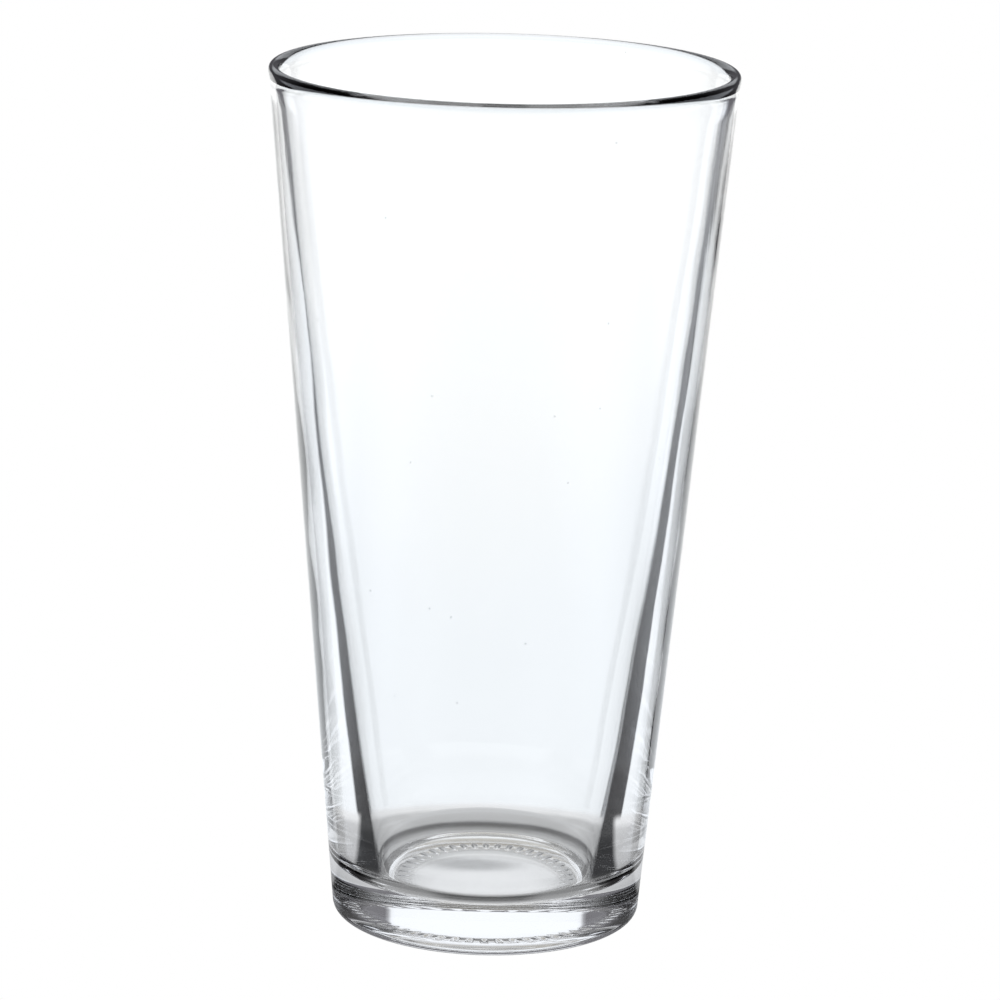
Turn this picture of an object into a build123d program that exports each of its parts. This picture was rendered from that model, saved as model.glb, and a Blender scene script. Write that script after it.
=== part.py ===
from build123d import *
import os

# A tall mixing glass: one piece of pressed, heat-strengthened soda-lime glass.
# Millimetres, +Z up, the origin on the axis at the plane the glass stands on.

# Driving dimensions
height = 172.0          # from the standing plane to the top of the lip
rim_diameter = 92.0     # across the lip, the widest place
foot_diameter = 61.5    # the outer cone carried down to the standing plane

# Lip: a small round outside, and inside a tall quarter ellipse that runs out into the wall
lip_outer = 1.0         # rounding outside
lip_inner = 1.9         # half ellipse inside, across the wall
lip_inner_drop = 3.8    # and down the wall
neck_step = 0.25        # how far the outer cone stays inside the lip
neck_drop = 2.8         # from the top of the lip down to the end of the outer cone

# Thick base
floor_height = 9.2      # inner floor, in its middle
floor_sag = 0.5         # how much lower the floor lies at its edge
floor_radius = 22.4     # inner wall carried down to the floor
floor_fillet = 5.0
heel_fillet = 2.2

# Inner wall: one very long arc, so that the wall thins steadily towards the lip
waist_radius = 34.75
waist_height = 95.0

# Underside: a push-up, flat in the middle, that falls in an arc to a flat standing ring
push_up_height = 1.3
push_up_flat_radius = 14.0
ring_inner_radius = 24.0
ring_fillet = 1.5

# Raised grip marks in a ring on the push-up
mark_count = 44
mark_ring_radius = 17.2
mark_length = 2.6
mark_width = 1.0
mark_height = 0.25
mark_side_angle = 30

# Derived sizes
rim_radius = rim_diameter / 2
foot_radius = foot_diameter / 2
lip_centre_radius = rim_radius - lip_outer
inner_lip_radius = lip_centre_radius - lip_inner
neck_height = height - neck_drop
lip_outside_height = height - lip_outer
lip_inside_height = height - lip_inner_drop
cone_slope = (rim_radius - neck_step - foot_radius) / neck_height

# Corners of the half section, as radius and height
push_up_centre = (0, push_up_height)
push_up_edge = (push_up_flat_radius, push_up_height)
ring_inner_edge = (ring_inner_radius, 0)
heel = (foot_radius, 0)
neck = (rim_radius - neck_step, neck_height)
lip_outside = (rim_radius, lip_outside_height)
inner_lip = (inner_lip_radius, lip_inside_height)
waist = (waist_radius, waist_height)
floor_edge = (floor_radius, floor_height - floor_sag)
floor_centre = (0, floor_height)

os.makedirs("parts", exist_ok=True)

with BuildPart() as glass_body:
    # Half section of the glass, turned about the axis
    with BuildSketch(Plane.XZ) as section:
        with BuildLine():
            Line(push_up_centre, push_up_edge)
            TangentArc(push_up_edge, ring_inner_edge, tangent=(1, 0))
            Polyline(ring_inner_edge, heel, neck)
            Spline(neck, lip_outside, tangents=[(cone_slope, 1), (0, 1)])
            CenterArc((lip_centre_radius, lip_outside_height), lip_outer, 0, 90)
            EllipticalCenterArc(
                (lip_centre_radius, lip_inside_height), lip_inner, lip_inner_drop, 90, arc_size=90
            )
            ThreePointArc(inner_lip, waist, floor_edge)
            TangentArc(floor_centre, floor_edge, tangent=(1, 0))
            Line(floor_centre, push_up_centre)
        make_face()
        for corner, radius in (
            (ring_inner_edge, ring_fillet),
            (heel, heel_fillet),
            (floor_edge, floor_fillet),
        ):
            fillet(section.vertices().sort_by_distance(corner)[0], radius=radius)
    revolve(axis=Axis.Z)

    # Grip marks stand down from the push-up and stay clear of the standing plane. They start
    # inside the glass, above where the push-up falls away.
    mark_root = push_up_height + mark_height
    with BuildSketch(Plane.XY.offset(mark_root)):
        with PolarLocations(mark_ring_radius, mark_count):
            SlotOverall(mark_length, mark_width)
    extrude(amount=-3 * mark_height, taper=mark_side_angle)

glass_body.part.label = "glass_body"
export_step(glass_body.part, "parts/glass_body.step")
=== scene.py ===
import math

import bmesh
import bpy
from mathutils import Matrix, Quaternion, Vector, noise


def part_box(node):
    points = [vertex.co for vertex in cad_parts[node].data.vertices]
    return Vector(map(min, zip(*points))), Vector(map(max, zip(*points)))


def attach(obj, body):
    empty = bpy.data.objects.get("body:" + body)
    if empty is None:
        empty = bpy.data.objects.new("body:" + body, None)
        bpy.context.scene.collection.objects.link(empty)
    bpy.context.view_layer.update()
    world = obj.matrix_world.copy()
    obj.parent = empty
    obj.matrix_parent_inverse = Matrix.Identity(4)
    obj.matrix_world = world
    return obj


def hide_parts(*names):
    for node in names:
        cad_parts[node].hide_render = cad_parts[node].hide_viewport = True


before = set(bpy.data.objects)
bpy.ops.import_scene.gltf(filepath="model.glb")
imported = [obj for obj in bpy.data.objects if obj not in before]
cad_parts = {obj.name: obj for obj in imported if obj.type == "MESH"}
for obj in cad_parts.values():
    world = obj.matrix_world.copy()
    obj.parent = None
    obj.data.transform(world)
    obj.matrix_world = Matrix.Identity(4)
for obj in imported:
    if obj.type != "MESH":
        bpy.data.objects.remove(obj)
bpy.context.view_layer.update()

# A tall mixing glass of clear pressed glass: one closed mesh of revolution, in a light studio.
# Metres, +Z up, the origin on the axis at the plane the glass stands on.

MM = 0.001
NODE = "glass_body"
_, top_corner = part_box(NODE)
HEIGHT = top_corner.z
RIM_RADIUS = top_corner.x
CENTRE = Vector((0, 0, HEIGHT / 2))

# --- Shape of the glass, beside the height and the rim that the part in model.glb gives ---

# Outer cone and lip
FOOT_RADIUS = 30.75 * MM          # the outer cone carried down to the standing plane
NECK_RADIUS = 45.75 * MM          # the outer cone just under the lip
NECK_DROP = 2.8 * MM              # from the top of the lip down to the end of the cone
LIP_OUTER = 1.0 * MM              # rounding of the lip outside
LIP_INNER = 1.9 * MM              # and inside, where it is a quarter of an ellipse
LIP_INNER_DROP = 3.8 * MM
LIP_WIDTH = LIP_OUTER + LIP_INNER
NECK_HEIGHT = HEIGHT - NECK_DROP
CONE_SLOPE = (NECK_RADIUS - FOOT_RADIUS) / NECK_HEIGHT

# Inner floor and inner wall
FLOOR_HEIGHT = 9.2 * MM           # in the middle
FLOOR_SAG = 0.5 * MM              # how much lower the floor lies at its edge
FLOOR_RADIUS = 22.4 * MM          # inner wall carried down to the floor
FLOOR_FILLET = 5.0 * MM
WAIST_RADIUS = 34.75 * MM
WAIST_HEIGHT = 95.0 * MM

# Underside: a push-up that falls in an arc to a flat standing ring
PUSH_UP_HEIGHT = 1.3 * MM
PUSH_UP_FLAT_RADIUS = 14.0 * MM
RING_INNER_RADIUS = 24.0 * MM
RING_FILLET = 1.5 * MM
RING_CHORD = 0.5 * MM             # end of the push-up's arc that the ring's fillet takes as straight
HEEL_FILLET = 2.2 * MM

# Grip marks in a ring on the push-up
MARK_COUNT = 44
MARK_RING_RADIUS = 17.2 * MM
MARK_LENGTH = 2.6 * MM
MARK_WIDTH = 1.0 * MM
MARK_HEIGHT = 0.25 * MM
MARK_FLAT_SHARE = 0.6             # of the length, before the ends round off

# Waves left in the wall by pressing: size, depth and seed of each
WAVES_OUTSIDE = ((24 * MM, 0.05 * MM, 5), (8 * MM, 0.01 * MM, 11))
WAVES_INSIDE = ((17 * MM, 0.05 * MM, 3), (6 * MM, 0.012 * MM, 8))
LIP_CALM = 6 * MM                 # no waves this near the top; they fade in over as much again
HEEL_CALM = 3 * MM                # nor this near the standing plane
HEEL_WAVES = 8 * MM               # where they are at full depth

# Steps along each stretch of the section, and around the axis
UNDERSIDE_STEPS = 46
RING_FILLET_STEPS = 6
RING_STEPS = 4
HEEL_STEPS = 12
CONE_STEPS = 40
NECK_STEPS = 9
LIP_OUTER_STEPS = 12
LIP_INNER_STEPS = 24
WALL_STEPS = 48
FLOOR_FILLET_STEPS = 20
FLOOR_STEPS = 14
SEGMENTS_PER_MARK = 9
SEGMENTS = MARK_COUNT * SEGMENTS_PER_MARK
SLOPE_STEP = 0.1 * MM             # half the chord that stands for a tangent
BISECTIONS = 50

# --- Glass ---
GLASS_IOR = 1.52
CLEAR = (0.996, 1.0, 0.999, 1)
SEED_TINT = (0.7, 0.71, 0.72, 1)
SEED_SCALE = 95                   # cells in a metre
SEED_CORE = 0.015                 # radii of a seed, in cells
SEED_EDGE = 0.035
GRAIN_SCALE = 160
GRAIN_DETAIL = 2
GRAIN_STRENGTH = 0.08
GRAIN_DEPTH = 0.04 * MM
MIX_FACTOR, MIX_FIRST, MIX_SECOND, MIX_RESULT = 0, 6, 7, 2    # sockets of a Mix node for colours

# --- Studio dome: azimuth and pitch in degrees from the camera's line of sight, to the right and up.
# A pair is a blurred edge, from where it starts to where it ends. A _PITCH pair is a band, and the
# _BLUR beside it blurs its ends.
DOME_RADIUS = 3.0
DOME_STEP = 1.5                   # degrees
PAINT = "light"                   # the colours painted on the dome and on the floor shade
ROOM = (0.022, 0.021, 0.022)

FLANK = (0.155, 0.152, 0.168)     # dim light beside and over the sheet
FLANK_BOTTOM = (-6, 6)
FLANK_TOP = (44, 50)
FLANK_SIDE = (40, 75)

CEILING = (0.72, 0.73, 0.75)
CEILING_BOTTOM = (46, 54)
CEILING_SIDE = (0.20, 0.20, 0.20)
CEILING_SIDE_EDGE = (50, 60)
CEILING_REAR = (0.98, 1.00, 1.04)
CEILING_REAR_EDGE = (96, 106)
ZENITH = (0.42, 0.40, 0.36)
ZENITH_EDGE = (62, 70)

SOFT_BOX = (0.98, 1.01, 1.06)
SOFT_BOX_PITCH = (26, 62)
SOFT_BOX_BLUR = 2
SOFT_BOX_SIDE = (31, 34)

# The white sheet behind the glass, which sweeps forward over the table and widens there
BACKDROP = (1.12, 1.13, 1.13)
SWEEP = (1.02, 1.06, 1.10)
TABLE = (0.95, 0.97, 1.00)
SHEET_LEFT = 28
SHEET_RIGHT = 22
SHEET_WIDER_LEFT = 11
SHEET_WIDER_RIGHT = 10
SHEET_BLUR = 0.8
SHEET_TOP = (11, 15)
SWEEP_TOP = (-7, 2)
TABLE_TOP = (-26, -18)

# The room's walls, beyond a dark gap on each side of the sheet
SIDE_WALL = (0.88, 0.92, 1.00)
SIDE_TABLE = (0.24, 0.25, 0.28)
SIDE_TABLE_TOP = (-22, -14)
SIDE_PITCH = (-34, 6)
SIDE_BLUR = 3
GAP = 13
GAP_WIDER = 10                    # beside the table
GAP_BLUR = 2

# --- Floor ---
FLOOR_DISC_RADIUS = 6
FLOOR_DISC_SIDES = 128
FLOOR_DROP = 0.1 * MM             # below the standing plane
SHADE_DROP = 0.05 * MM
SHADE_RADIUS = 60 * MM
SHADE_FADE = 57 * MM              # the shade thins out from here to its edge
SHADE_RINGS = 60
SHADE_COLUMNS = 120
SHADE_TINT = (1.0, 1.01, 1.03)

# Radius in mm and brightness of the floor that the foot shades, behind the glass as the camera
# sees it, beside it and in front of it
SHADE_BEHIND = (
    (0, 0.80), (6, 0.80), (14, 0.74), (16, 0.70), (18, 0.40), (22, 0.30), (27, 0.26), (31, 0.48),
    (33, 0.24), (34.5, 0.12), (36, 0.16), (38, 0.50), (42, 0.56), (50, 0.60), (54, 0.64),
    (56, 0.90), (60, 0.95),
)
SHADE_BESIDE = (
    (0, 0.80), (10, 0.76), (14, 0.62), (17, 0.40), (20, 0.32), (27, 0.20), (31, 0.22), (34, 0.20),
    (36, 0.03), (60, 0.02),
)
SHADE_BEFORE = (
    (0, 0.80), (7, 0.78), (10, 0.70), (14, 0.50), (17, 0.36), (21, 0.12), (26, 0.05), (30, 0.10),
    (34, 0.50), (38, 0.92), (60, 1.0),
)
BEHIND_EDGE = (72, 78)            # degrees from straight behind the glass
BEFORE_ANGLE = 100
BEFORE_LATER = 40                 # under the foot the front starts this many degrees later
BEFORE_BLUR = 20
FOOT_EDGE = (28, 34)              # radius in mm
# The spot is painted shade on the floor, seen only through the base of the glass.
SPOT_CENTRE = (-3, 10)            # a darker spot under the floor of the glass, in mm
SPOT_SIZE = (13, 4.5)
SPOT_EDGE = (0.3, 1.1)
SPOT_DEPTH = 0.6

# --- Camera ---
CAMERA_DISTANCE = 0.931           # from the middle of the glass
CAMERA_ELEVATION = math.radians(13.93)
CAMERA_ROLL = math.radians(1.395)
AIM_RIGHT = 1.05 * MM             # where the camera aims, from the middle of the glass
AIM_UP = -0.68 * MM
LENS = 168.66
SENSOR_WIDTH = 36
CLIP_START = 0.05
CLIP_END = 50

# --- Light paths ---
LIGHT_BOUNCES = 32
GLOSSY_BOUNCES = 16


# --- Helpers ------------------------------------------------------------------


def smooth_step(low, high, x):
    """0 below low, 1 above high, smooth between."""
    t = min(1, max(0, (x - low) / (high - low)))
    return t * t * (3 - 2 * t)


def above(edge, x):
    """0 below a blurred edge, 1 above it."""
    return smooth_step(*edge, x)


def below(edge, x):
    """1 below a blurred edge, 0 above it."""
    return 1 - above(edge, x)


def within(x, low, high, blur):
    """1 between low and high, 0 outside, with blurred edges."""
    return smooth_step(low - blur, low + blur, x) * (1 - smooth_step(high - blur, high + blur, x))


def mix(base, other, share):
    """A colour part of the way from base to other."""
    return tuple(b + (o - b) * share for b, o in zip(base, other))


def look_up(table, x):
    """Value at x of a table of straight pieces."""
    for (x0, y0), (x1, y1) in zip(table, table[1:]):
        if x <= x1:
            return y0 + (y1 - y0) * max(0, x - x0) / (x1 - x0)
    return table[-1][1]


def add_object(name, bm):
    """A new object in the scene with the mesh that was built."""
    mesh = bpy.data.meshes.new(name)
    bm.to_mesh(mesh)
    bm.free()
    piece = bpy.data.objects.new(name, mesh)
    bpy.context.scene.collection.objects.link(piece)
    return piece


# --- Section of the glass -----------------------------------------------------


def inner_wall(z):
    """Radius of the inner wall at a height: a parabola through floor's edge, waist and lip."""
    points = (
        (FLOOR_HEIGHT - FLOOR_SAG, FLOOR_RADIUS),
        (WAIST_HEIGHT, WAIST_RADIUS),
        (HEIGHT - LIP_INNER_DROP, RIM_RADIUS - LIP_WIDTH),
    )
    radius = 0
    for i, (z_i, r_i) in enumerate(points):
        share = 1
        for j, (z_j, _) in enumerate(points):
            if j != i:
                share *= (z - z_j) / (z_i - z_j)
        radius += r_i * share
    return radius


def inner_floor(r):
    """Height of the inner floor at a radius: slightly domed."""
    return FLOOR_HEIGHT - FLOOR_SAG * (r / FLOOR_RADIUS) ** 2


def underside(r):
    """Height of the push-up at a radius: flat in the middle, then an arc down to the standing ring."""
    width = RING_INNER_RADIUS - PUSH_UP_FLAT_RADIUS
    bend = (width**2 + PUSH_UP_HEIGHT**2) / (2 * PUSH_UP_HEIGHT)
    return PUSH_UP_HEIGHT - bend + math.sqrt(bend**2 - max(r - PUSH_UP_FLAT_RADIUS, 0) ** 2)


def slope_angle(curve, x):
    """Angle of a curve's tangent at x."""
    return math.atan((curve(x + SLOPE_STEP) - curve(x - SLOPE_STEP)) / (2 * SLOPE_STEP))


def arc(centre, radius, start, end, steps):
    """Points on an arc, angles in radians, both ends included."""
    angles = [start + (end - start) * i / steps for i in range(steps + 1)]
    return [(centre[0] + radius * math.cos(a), centre[1] + radius * math.sin(a)) for a in angles]


def rounded_corner(before, corner, after, radius, steps):
    """The arc that rounds a corner between two straight lines."""
    b, c, a = Vector(before), Vector(corner), Vector(after)
    u = (b - c).normalized()
    v = (a - c).normalized()
    half = u.angle(v) / 2
    centre = c + (u + v).normalized() * (radius / math.sin(half))
    start = c + u * (radius / math.tan(half))
    end = c + v * (radius / math.tan(half))
    first = math.atan2(start.y - centre.y, start.x - centre.x)
    turn = math.atan2(end.y - centre.y, end.x - centre.x) - first
    turn = (turn + math.pi) % (2 * math.pi) - math.pi
    return arc(centre, radius, first, first + turn, steps)


def straight(start, end, steps):
    """Points inside a straight line, both ends left out."""
    return [
        (start[0] + (end[0] - start[0]) * i / steps, start[1] + (end[1] - start[1]) * i / steps)
        for i in range(1, steps)
    ]


def hermite(start, start_tangent, end, end_tangent, steps):
    """Points on a cubic from start to end, the start left out."""
    controls = (start, start_tangent, end, end_tangent)
    points = []
    for i in range(1, steps + 1):
        t = i / steps
        weights = (
            2 * t**3 - 3 * t**2 + 1,
            t**3 - 2 * t**2 + t,
            3 * t**2 - 2 * t**3,
            t**3 - t**2,
        )
        points.append(tuple(sum(w * c[k] for w, c in zip(weights, controls)) for k in range(2)))
    return points


def floor_corner():
    """The arc between the inner wall and the inner floor, from the wall down."""
    low, high = FLOOR_HEIGHT, FLOOR_HEIGHT + 3 * FLOOR_FILLET
    for _ in range(BISECTIONS):
        z = (low + high) / 2
        wall_angle = slope_angle(inner_wall, z)
        x = inner_wall(z) - FLOOR_FILLET * math.cos(wall_angle)
        y = z + FLOOR_FILLET * math.sin(wall_angle)
        floor_angle = slope_angle(inner_floor, x)
        touch = x + FLOOR_FILLET * math.sin(floor_angle)
        gap = y - FLOOR_FILLET * math.cos(floor_angle) - inner_floor(touch)
        low, high = (z, high) if gap < 0 else (low, z)
    return arc((x, y), FLOOR_FILLET, -wall_angle, floor_angle - math.pi / 2, FLOOR_FILLET_STEPS)


def outer_section():
    """The section from the middle of the underside, over the standing ring, to the top of the lip."""
    ring_edge = (RING_INNER_RADIUS, 0)
    heel = (FOOT_RADIUS, 0)
    neck = (NECK_RADIUS, NECK_HEIGHT)
    lip_outside = (RIM_RADIUS, HEIGHT - LIP_OUTER)
    lip_centre = (RIM_RADIUS - LIP_OUTER, HEIGHT - LIP_OUTER)
    reach = NECK_DROP - LIP_OUTER

    before = (RING_INNER_RADIUS - RING_CHORD, underside(RING_INNER_RADIUS - RING_CHORD))
    ring = rounded_corner(before, ring_edge, heel, RING_FILLET, RING_FILLET_STEPS)
    push_up = [ring[0][0] * i / UNDERSIDE_STEPS for i in range(1, UNDERSIDE_STEPS)]
    points = [(r, underside(r)) for r in push_up] + ring
    points += straight(points[-1], heel, RING_STEPS)[: RING_STEPS // 2]    # the rest is heel
    points += rounded_corner(ring_edge, heel, neck, HEEL_FILLET, HEEL_STEPS)
    points += straight(points[-1], neck, CONE_STEPS)
    points += [neck]
    points += hermite(neck, (CONE_SLOPE * reach, reach), lip_outside, (0, reach), NECK_STEPS)
    points += arc(lip_centre, LIP_OUTER, 0, math.pi / 2, LIP_OUTER_STEPS)[1:]
    return points


def inner_section():
    """The section from just past the top of the lip, down the inner wall, across the floor."""
    points = []
    for i in range(1, LIP_INNER_STEPS + 1):
        turn = math.pi / 2 * i / LIP_INNER_STEPS
        x = RIM_RADIUS - LIP_OUTER - LIP_INNER * math.sin(turn)
        y = HEIGHT - LIP_INNER_DROP * (1 - math.cos(turn))
        points.append((x, y))
    corner = floor_corner()
    top, bottom = HEIGHT - LIP_INNER_DROP, corner[0][1]
    heights = [top + (bottom - top) * i / WALL_STEPS for i in range(1, WALL_STEPS)]
    points += [(inner_wall(z), z) for z in heights] + corner
    edge = corner[-1][0]
    radii = [edge * (1 - i / FLOOR_STEPS) for i in range(1, FLOOR_STEPS)]
    points += [(r, inner_floor(r)) for r in radii]
    return points


# --- Mesh of the glass --------------------------------------------------------


def mark_relief(r, turn):
    """Height of the raised grip marks under the push-up, at a radius and a share of a whole turn."""
    lengthwise = abs(r - MARK_RING_RADIUS) / (MARK_LENGTH / 2)
    pitch = 2 * math.pi * r / MARK_COUNT
    offset = ((turn * MARK_COUNT + 0.5) % 1 - 0.5) * pitch
    across = offset / (MARK_WIDTH / 2)
    rounding = max(lengthwise - MARK_FLAT_SHARE, 0) / (1 - MARK_FLAT_SHARE)
    distance = math.hypot(rounding, across)
    return MARK_HEIGHT * max(0, 1 - distance**2) ** 0.5


def ripple(point, size, depth, seed):
    """A smooth, seeded unevenness."""
    return depth * noise.noise(point / size + Vector((seed, -seed, 2 * seed)))


def pressed(r, z, turn, inside):
    """Radius of the wall at a place, with the waves that pressing leaves away from its ends."""
    keep = smooth_step(0, LIP_CALM, HEIGHT - LIP_CALM - z) * smooth_step(HEEL_CALM, HEEL_WAVES, z)
    if inside:
        keep *= smooth_step(FLOOR_HEIGHT + FLOOR_FILLET, FLOOR_HEIGHT + 2 * FLOOR_FILLET, z)
    waves = WAVES_INSIDE if inside else WAVES_OUTSIDE
    angle = 2 * math.pi * turn
    place = Vector((r * math.cos(angle), r * math.sin(angle), z))
    return r + keep * sum(ripple(place, *wave) for wave in waves)


def build_ring(bm, wall, z, inside):
    """The vertices around the axis for one point of the section."""
    ring = []
    for k in range(SEGMENTS):
        turn = k / SEGMENTS
        angle = 2 * math.pi * turn
        r = pressed(wall, z, turn, inside)
        height = z
        if abs(r - MARK_RING_RADIUS) < MARK_LENGTH and z < FLOOR_HEIGHT / 2:
            height -= mark_relief(r, turn)
        ring.append(bm.verts.new((r * math.cos(angle), r * math.sin(angle), height)))
    return ring


def build_glass():
    """The whole glass as one closed mesh of revolution."""
    bm = bmesh.new()
    under = bm.verts.new((0, 0, PUSH_UP_HEIGHT))
    rings = [build_ring(bm, r, z, inside=False) for r, z in outer_section()]
    rings += [build_ring(bm, r, z, inside=True) for r, z in inner_section()]
    middle = bm.verts.new((0, 0, inner_floor(0)))
    for k in range(SEGMENTS):
        n = (k + 1) % SEGMENTS
        bm.faces.new((under, rings[0][n], rings[0][k]))
        for a, b in zip(rings, rings[1:]):
            bm.faces.new((a[k], a[n], b[n], b[k]))
        bm.faces.new((middle, rings[-1][k], rings[-1][n]))
    bmesh.ops.recalc_face_normals(bm, faces=bm.faces)
    for face in bm.faces:
        face.smooth = True
    return add_object("mixing_glass", bm)


def glass_material():
    """Clear soda-lime glass, with a faint unevenness and a few seeds left in by pressing."""
    material = bpy.data.materials.new("pressed_glass")
    material.use_nodes = True
    nodes, links = material.node_tree.nodes, material.node_tree.links
    shader = nodes["Principled BSDF"]
    shader.inputs["Roughness"].default_value = 0.0
    shader.inputs["IOR"].default_value = GLASS_IOR
    shader.inputs["Transmission Weight"].default_value = 1
    place = nodes.new("ShaderNodeTexCoord")

    seeds = nodes.new("ShaderNodeTexVoronoi")
    seeds.inputs["Scale"].default_value = SEED_SCALE
    seeds.inputs["Randomness"].default_value = 1
    links.new(place.outputs["Object"], seeds.inputs["Vector"])
    dot = nodes.new("ShaderNodeMapRange")
    dot.interpolation_type = "SMOOTHSTEP"
    dot.inputs["From Min"].default_value = SEED_CORE
    dot.inputs["From Max"].default_value = SEED_EDGE
    links.new(seeds.outputs["Distance"], dot.inputs["Value"])
    tint = nodes.new("ShaderNodeMix")
    tint.data_type = "RGBA"
    tint.inputs[MIX_FIRST].default_value = SEED_TINT
    tint.inputs[MIX_SECOND].default_value = CLEAR
    links.new(dot.outputs["Result"], tint.inputs[MIX_FACTOR])
    links.new(tint.outputs[MIX_RESULT], shader.inputs["Base Color"])

    waves = nodes.new("ShaderNodeTexNoise")
    waves.inputs["Scale"].default_value = GRAIN_SCALE
    waves.inputs["Detail"].default_value = GRAIN_DETAIL
    links.new(place.outputs["Object"], waves.inputs["Vector"])
    grain = nodes.new("ShaderNodeMath")
    grain.operation = "ADD"
    links.new(waves.outputs["Fac"], grain.inputs[0])
    links.new(dot.outputs["Result"], grain.inputs[1])
    bump = nodes.new("ShaderNodeBump")
    bump.inputs["Strength"].default_value = GRAIN_STRENGTH
    bump.inputs["Distance"].default_value = GRAIN_DEPTH
    links.new(grain.outputs["Value"], bump.inputs["Height"])
    links.new(bump.outputs["Normal"], shader.inputs["Normal"])
    return material


# --- Studio -------------------------------------------------------------------


def light_material(name):
    """A material that only gives light, and its emission node."""
    material = bpy.data.materials.new(name)
    material.use_nodes = True
    nodes = material.node_tree.nodes
    nodes.clear()
    emission = nodes.new("ShaderNodeEmission")
    output = nodes.new("ShaderNodeOutputMaterial")
    material.node_tree.links.new(emission.outputs["Emission"], output.inputs["Surface"])
    material.cycles.emission_sampling = "NONE"
    return material, emission


def painted_light(name):
    """A light material in the mesh's painted colours, its emission node and its node of colours."""
    material, emission = light_material(name)
    paint = material.node_tree.nodes.new("ShaderNodeAttribute")
    paint.attribute_name = PAINT
    material.node_tree.links.new(paint.outputs["Color"], emission.inputs["Color"])
    return material, emission, paint


def shade_material():
    """The floor's shade: painted light that thins out to clear by the painted alpha."""
    material, emission, paint = painted_light("contact_shade")
    nodes, links = material.node_tree.nodes, material.node_tree.links
    clear = nodes.new("ShaderNodeBsdfTransparent")
    both = nodes.new("ShaderNodeMixShader")
    links.new(paint.outputs["Alpha"], both.inputs["Fac"])
    links.new(clear.outputs["BSDF"], both.inputs[1])
    links.new(emission.outputs["Emission"], both.inputs[2])
    links.new(both.outputs["Shader"], nodes["Material Output"].inputs["Surface"])
    return material


def room_light(azimuth, pitch):
    """Colour of the room, its ceiling and the soft box over the sheet, in a direction."""
    side = abs(azimuth)
    flank = above(FLANK_BOTTOM, pitch) * below(FLANK_SIDE, side) * below(FLANK_TOP, pitch)
    colour = mix(ROOM, FLANK, flank)
    ceiling = mix(CEILING, CEILING_SIDE, above(CEILING_SIDE_EDGE, side))
    ceiling = mix(ceiling, CEILING_REAR, above(CEILING_REAR_EDGE, side))
    ceiling = mix(ceiling, ZENITH, above(ZENITH_EDGE, pitch))
    colour = mix(colour, ceiling, above(CEILING_BOTTOM, pitch))
    soft_box = within(pitch, *SOFT_BOX_PITCH, SOFT_BOX_BLUR) * below(SOFT_BOX_SIDE, side)
    return mix(colour, SOFT_BOX, soft_box)


def studio_light(azimuth, pitch):
    """Colour of the studio's light in a direction: the room, its side walls and the sheet."""
    side = abs(azimuth)
    near = below(SWEEP_TOP, pitch)
    low = below(SIDE_TABLE_TOP, pitch)
    left = SHEET_LEFT + SHEET_WIDER_LEFT * near
    right = SHEET_RIGHT + SHEET_WIDER_RIGHT * near

    gap_end = (left if azimuth < 0 else right) + GAP + GAP_WIDER * low
    beyond = smooth_step(gap_end - GAP_BLUR, gap_end + GAP_BLUR, side)
    beyond *= within(pitch, *SIDE_PITCH, SIDE_BLUR)
    colour = mix(room_light(azimuth, pitch), mix(SIDE_WALL, SIDE_TABLE, low), beyond)

    sweep = mix(SWEEP, TABLE, below(TABLE_TOP, pitch))
    sheet = within(azimuth, -left, right, SHEET_BLUR) * below(SHEET_TOP, pitch)
    return mix(colour, mix(BACKDROP, sweep, near), sheet)


def dome_place(azimuth, pitch):
    """Place on the dome in the camera's own axes, where the line of sight is -Z."""
    azimuth, pitch = math.radians(azimuth), math.radians(pitch)
    return (
        DOME_RADIUS * math.sin(azimuth) * math.cos(pitch),
        DOME_RADIUS * math.sin(pitch),
        -DOME_RADIUS * math.cos(azimuth) * math.cos(pitch),
    )


def build_dome(camera):
    """A dome of light around the glass and the camera, which turns with the camera."""
    columns, rows = int(360 / DOME_STEP), int(180 / DOME_STEP)
    azimuths = [i * DOME_STEP - 180 for i in range(columns + 1)]
    pitches = [j * DOME_STEP - 90 for j in range(rows + 1)]
    bm = bmesh.new()
    layer = bm.loops.layers.float_color.new(PAINT)
    grid = [[bm.verts.new(dome_place(a, pitch)) for a in azimuths[:-1]] for pitch in pitches]
    for j in range(rows):
        for i in range(columns):
            n = (i + 1) % columns
            face = bm.faces.new((grid[j][i], grid[j][n], grid[j + 1][n], grid[j + 1][i]))
            corners = ((i, j), (i + 1, j), (i + 1, j + 1), (i, j + 1))
            for loop, (a, b) in zip(face.loops, corners):
                loop[layer] = (*studio_light(azimuths[a], pitches[b]), 1)
    dome = add_object("studio_dome", bm)
    dome.data.materials.append(painted_light("studio_dome")[0])
    dome.visible_camera = False
    dome.visible_shadow = False
    dome.parent = camera
    dome.matrix_parent_inverse = Matrix.Identity(4)
    dome.location = (0, 0, -(camera.location - CENTRE).length)


def build_floor():
    """The pale floor, which only the camera sees."""
    white, emission = light_material("pale_floor")
    emission.inputs["Color"].default_value = (1, 1, 1, 1)
    bm = bmesh.new()
    bmesh.ops.create_circle(bm, cap_ends=True, segments=FLOOR_DISC_SIDES, radius=FLOOR_DISC_RADIUS)
    disc = add_object("floor", bm)
    disc.location.z = -FLOOR_DROP
    disc.data.materials.append(white)
    disc.visible_transmission = False
    disc.visible_glossy = False


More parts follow.
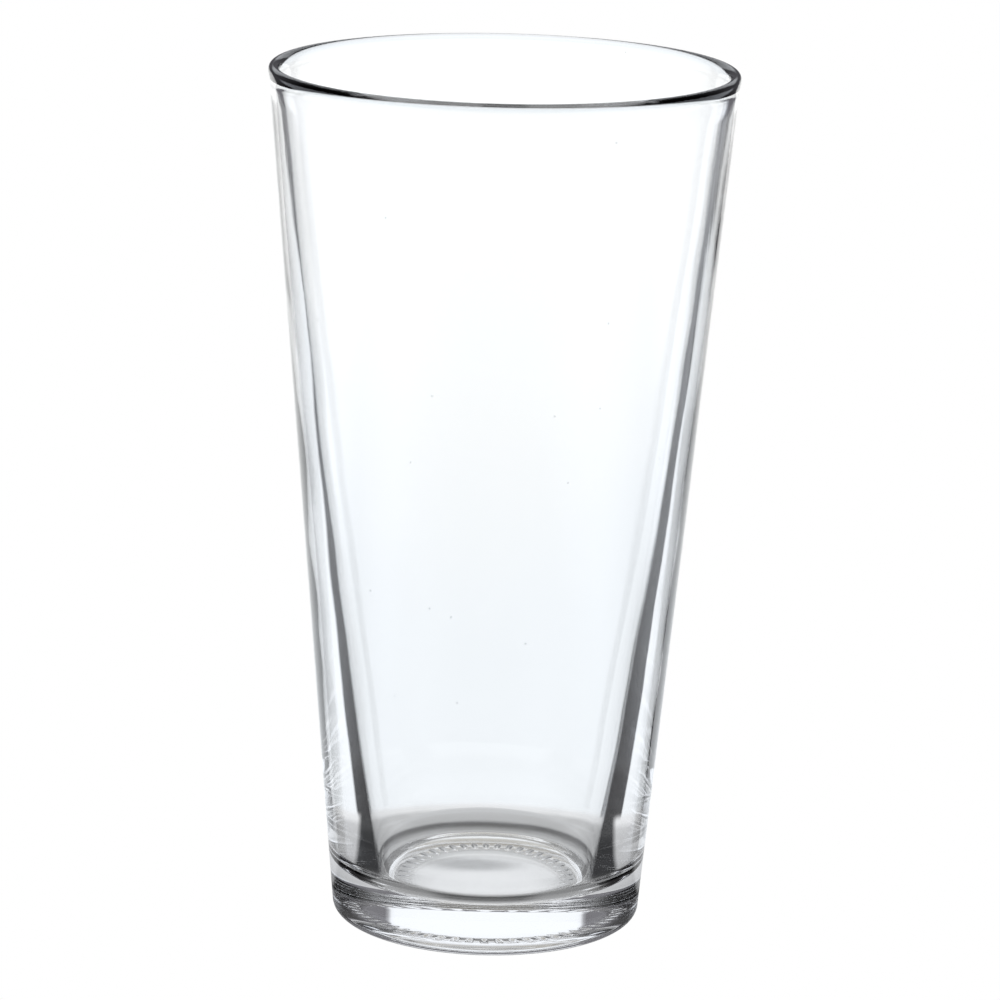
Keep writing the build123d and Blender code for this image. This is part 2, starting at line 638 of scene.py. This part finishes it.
def floor_light(x, y):
    """Brightness of the floor around the foot, in mm; y runs away from the camera."""
    r = math.hypot(x, y)
    angle = math.degrees(math.atan2(abs(x), y))
    level = look_up(SHADE_BESIDE, r)
    level += (look_up(SHADE_BEHIND, r) - level) * below(BEHIND_EDGE, angle)
    turn = BEFORE_ANGLE + BEFORE_LATER * below(FOOT_EDGE, r)
    level += (look_up(SHADE_BEFORE, r) - level) * smooth_step(turn, turn + BEFORE_BLUR, angle)
    spot = math.hypot((x - SPOT_CENTRE[0]) / SPOT_SIZE[0], (y - SPOT_CENTRE[1]) / SPOT_SIZE[1])
    return level * (1 - SPOT_DEPTH * below(SPOT_EDGE, spot))


def shade_place(ring, column):
    """Place of a vertex of the floor shade."""
    r, turn = SHADE_RADIUS * ring / SHADE_RINGS, 2 * math.pi * column / SHADE_COLUMNS
    return r * math.cos(turn), r * math.sin(turn), 0


def build_shade(camera):
    """The foot's shade on the floor: it turns with the camera, and is seen only through the glass."""
    bm = bmesh.new()
    layer = bm.verts.layers.float_color.new(PAINT)
    grid = []
    for j in range(1, SHADE_RINGS + 1):
        alpha = 1 - smooth_step(SHADE_FADE, SHADE_RADIUS, SHADE_RADIUS * j / SHADE_RINGS)
        grid.append([bm.verts.new(shade_place(j, i)) for i in range(SHADE_COLUMNS)])
        for vert in grid[-1]:
            level = floor_light(vert.co.x / MM, vert.co.y / MM)
            vert[layer] = (*(level * share for share in SHADE_TINT), alpha)
    bm.faces.new(grid[0])
    for inner, outer in zip(grid, grid[1:]):
        for i in range(SHADE_COLUMNS):
            n = (i + 1) % SHADE_COLUMNS
            bm.faces.new((inner[i], outer[i], outer[n], inner[n]))
    disc = add_object("contact_shade", bm)
    disc.location.z = -SHADE_DROP
    disc.data.materials.append(shade_material())
    facing = disc.constraints.new("LOCKED_TRACK")
    facing.target = camera
    facing.track_axis = "TRACK_NEGATIVE_Y"
    facing.lock_axis = "LOCK_Z"
    disc.visible_camera = False
    disc.visible_shadow = False


def build_camera():
    """The camera, in front of the glass and a little above it, rolled by a small angle."""
    back = Vector((0, -math.cos(CAMERA_ELEVATION), math.sin(CAMERA_ELEVATION)))
    up = Vector((0, math.sin(CAMERA_ELEVATION), math.cos(CAMERA_ELEVATION)))
    data = bpy.data.cameras.new("camera")
    data.lens = LENS
    data.sensor_width = SENSOR_WIDTH
    data.clip_start = CLIP_START
    data.clip_end = CLIP_END
    camera = bpy.data.objects.new("camera", data)
    bpy.context.scene.collection.objects.link(camera)
    camera.location = CENTRE + back * CAMERA_DISTANCE
    aim = CENTRE + Vector((1, 0, 0)) * AIM_RIGHT + up * AIM_UP
    camera.rotation_mode = "QUATERNION"
    look = (aim - camera.location).to_track_quat("-Z", "Y")
    camera.rotation_quaternion = look @ Quaternion((0, 0, 1), CAMERA_ROLL)
    bpy.context.scene.camera = camera
    return camera


def build_world():
    """White around the set."""
    world = bpy.data.worlds.new("studio")
    world.use_nodes = True
    background = world.node_tree.nodes["Background"]
    background.inputs["Color"].default_value = (1, 1, 1, 1)
    background.inputs["Strength"].default_value = 1.0
    bpy.context.scene.world = world


def set_light_paths(scene):
    """Enough bounces for light to cross both walls and the base, and colours as they are."""
    scene.view_settings.view_transform = "Standard"
    scene.cycles.max_bounces = LIGHT_BOUNCES
    scene.cycles.transmission_bounces = LIGHT_BOUNCES
    scene.cycles.glossy_bounces = GLOSSY_BOUNCES
    scene.cycles.caustics_reflective = True
    scene.cycles.caustics_refractive = True
    scene.cycles.sample_clamp_indirect = 0


# --- The scene ----------------------------------------------------------------

glass = build_glass()
glass.data.materials.append(glass_material())
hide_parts(NODE)
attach(glass, "root")

camera = build_camera()
build_dome(camera)
build_floor()
build_shade(camera)
build_world()
set_light_paths(bpy.context.scene)
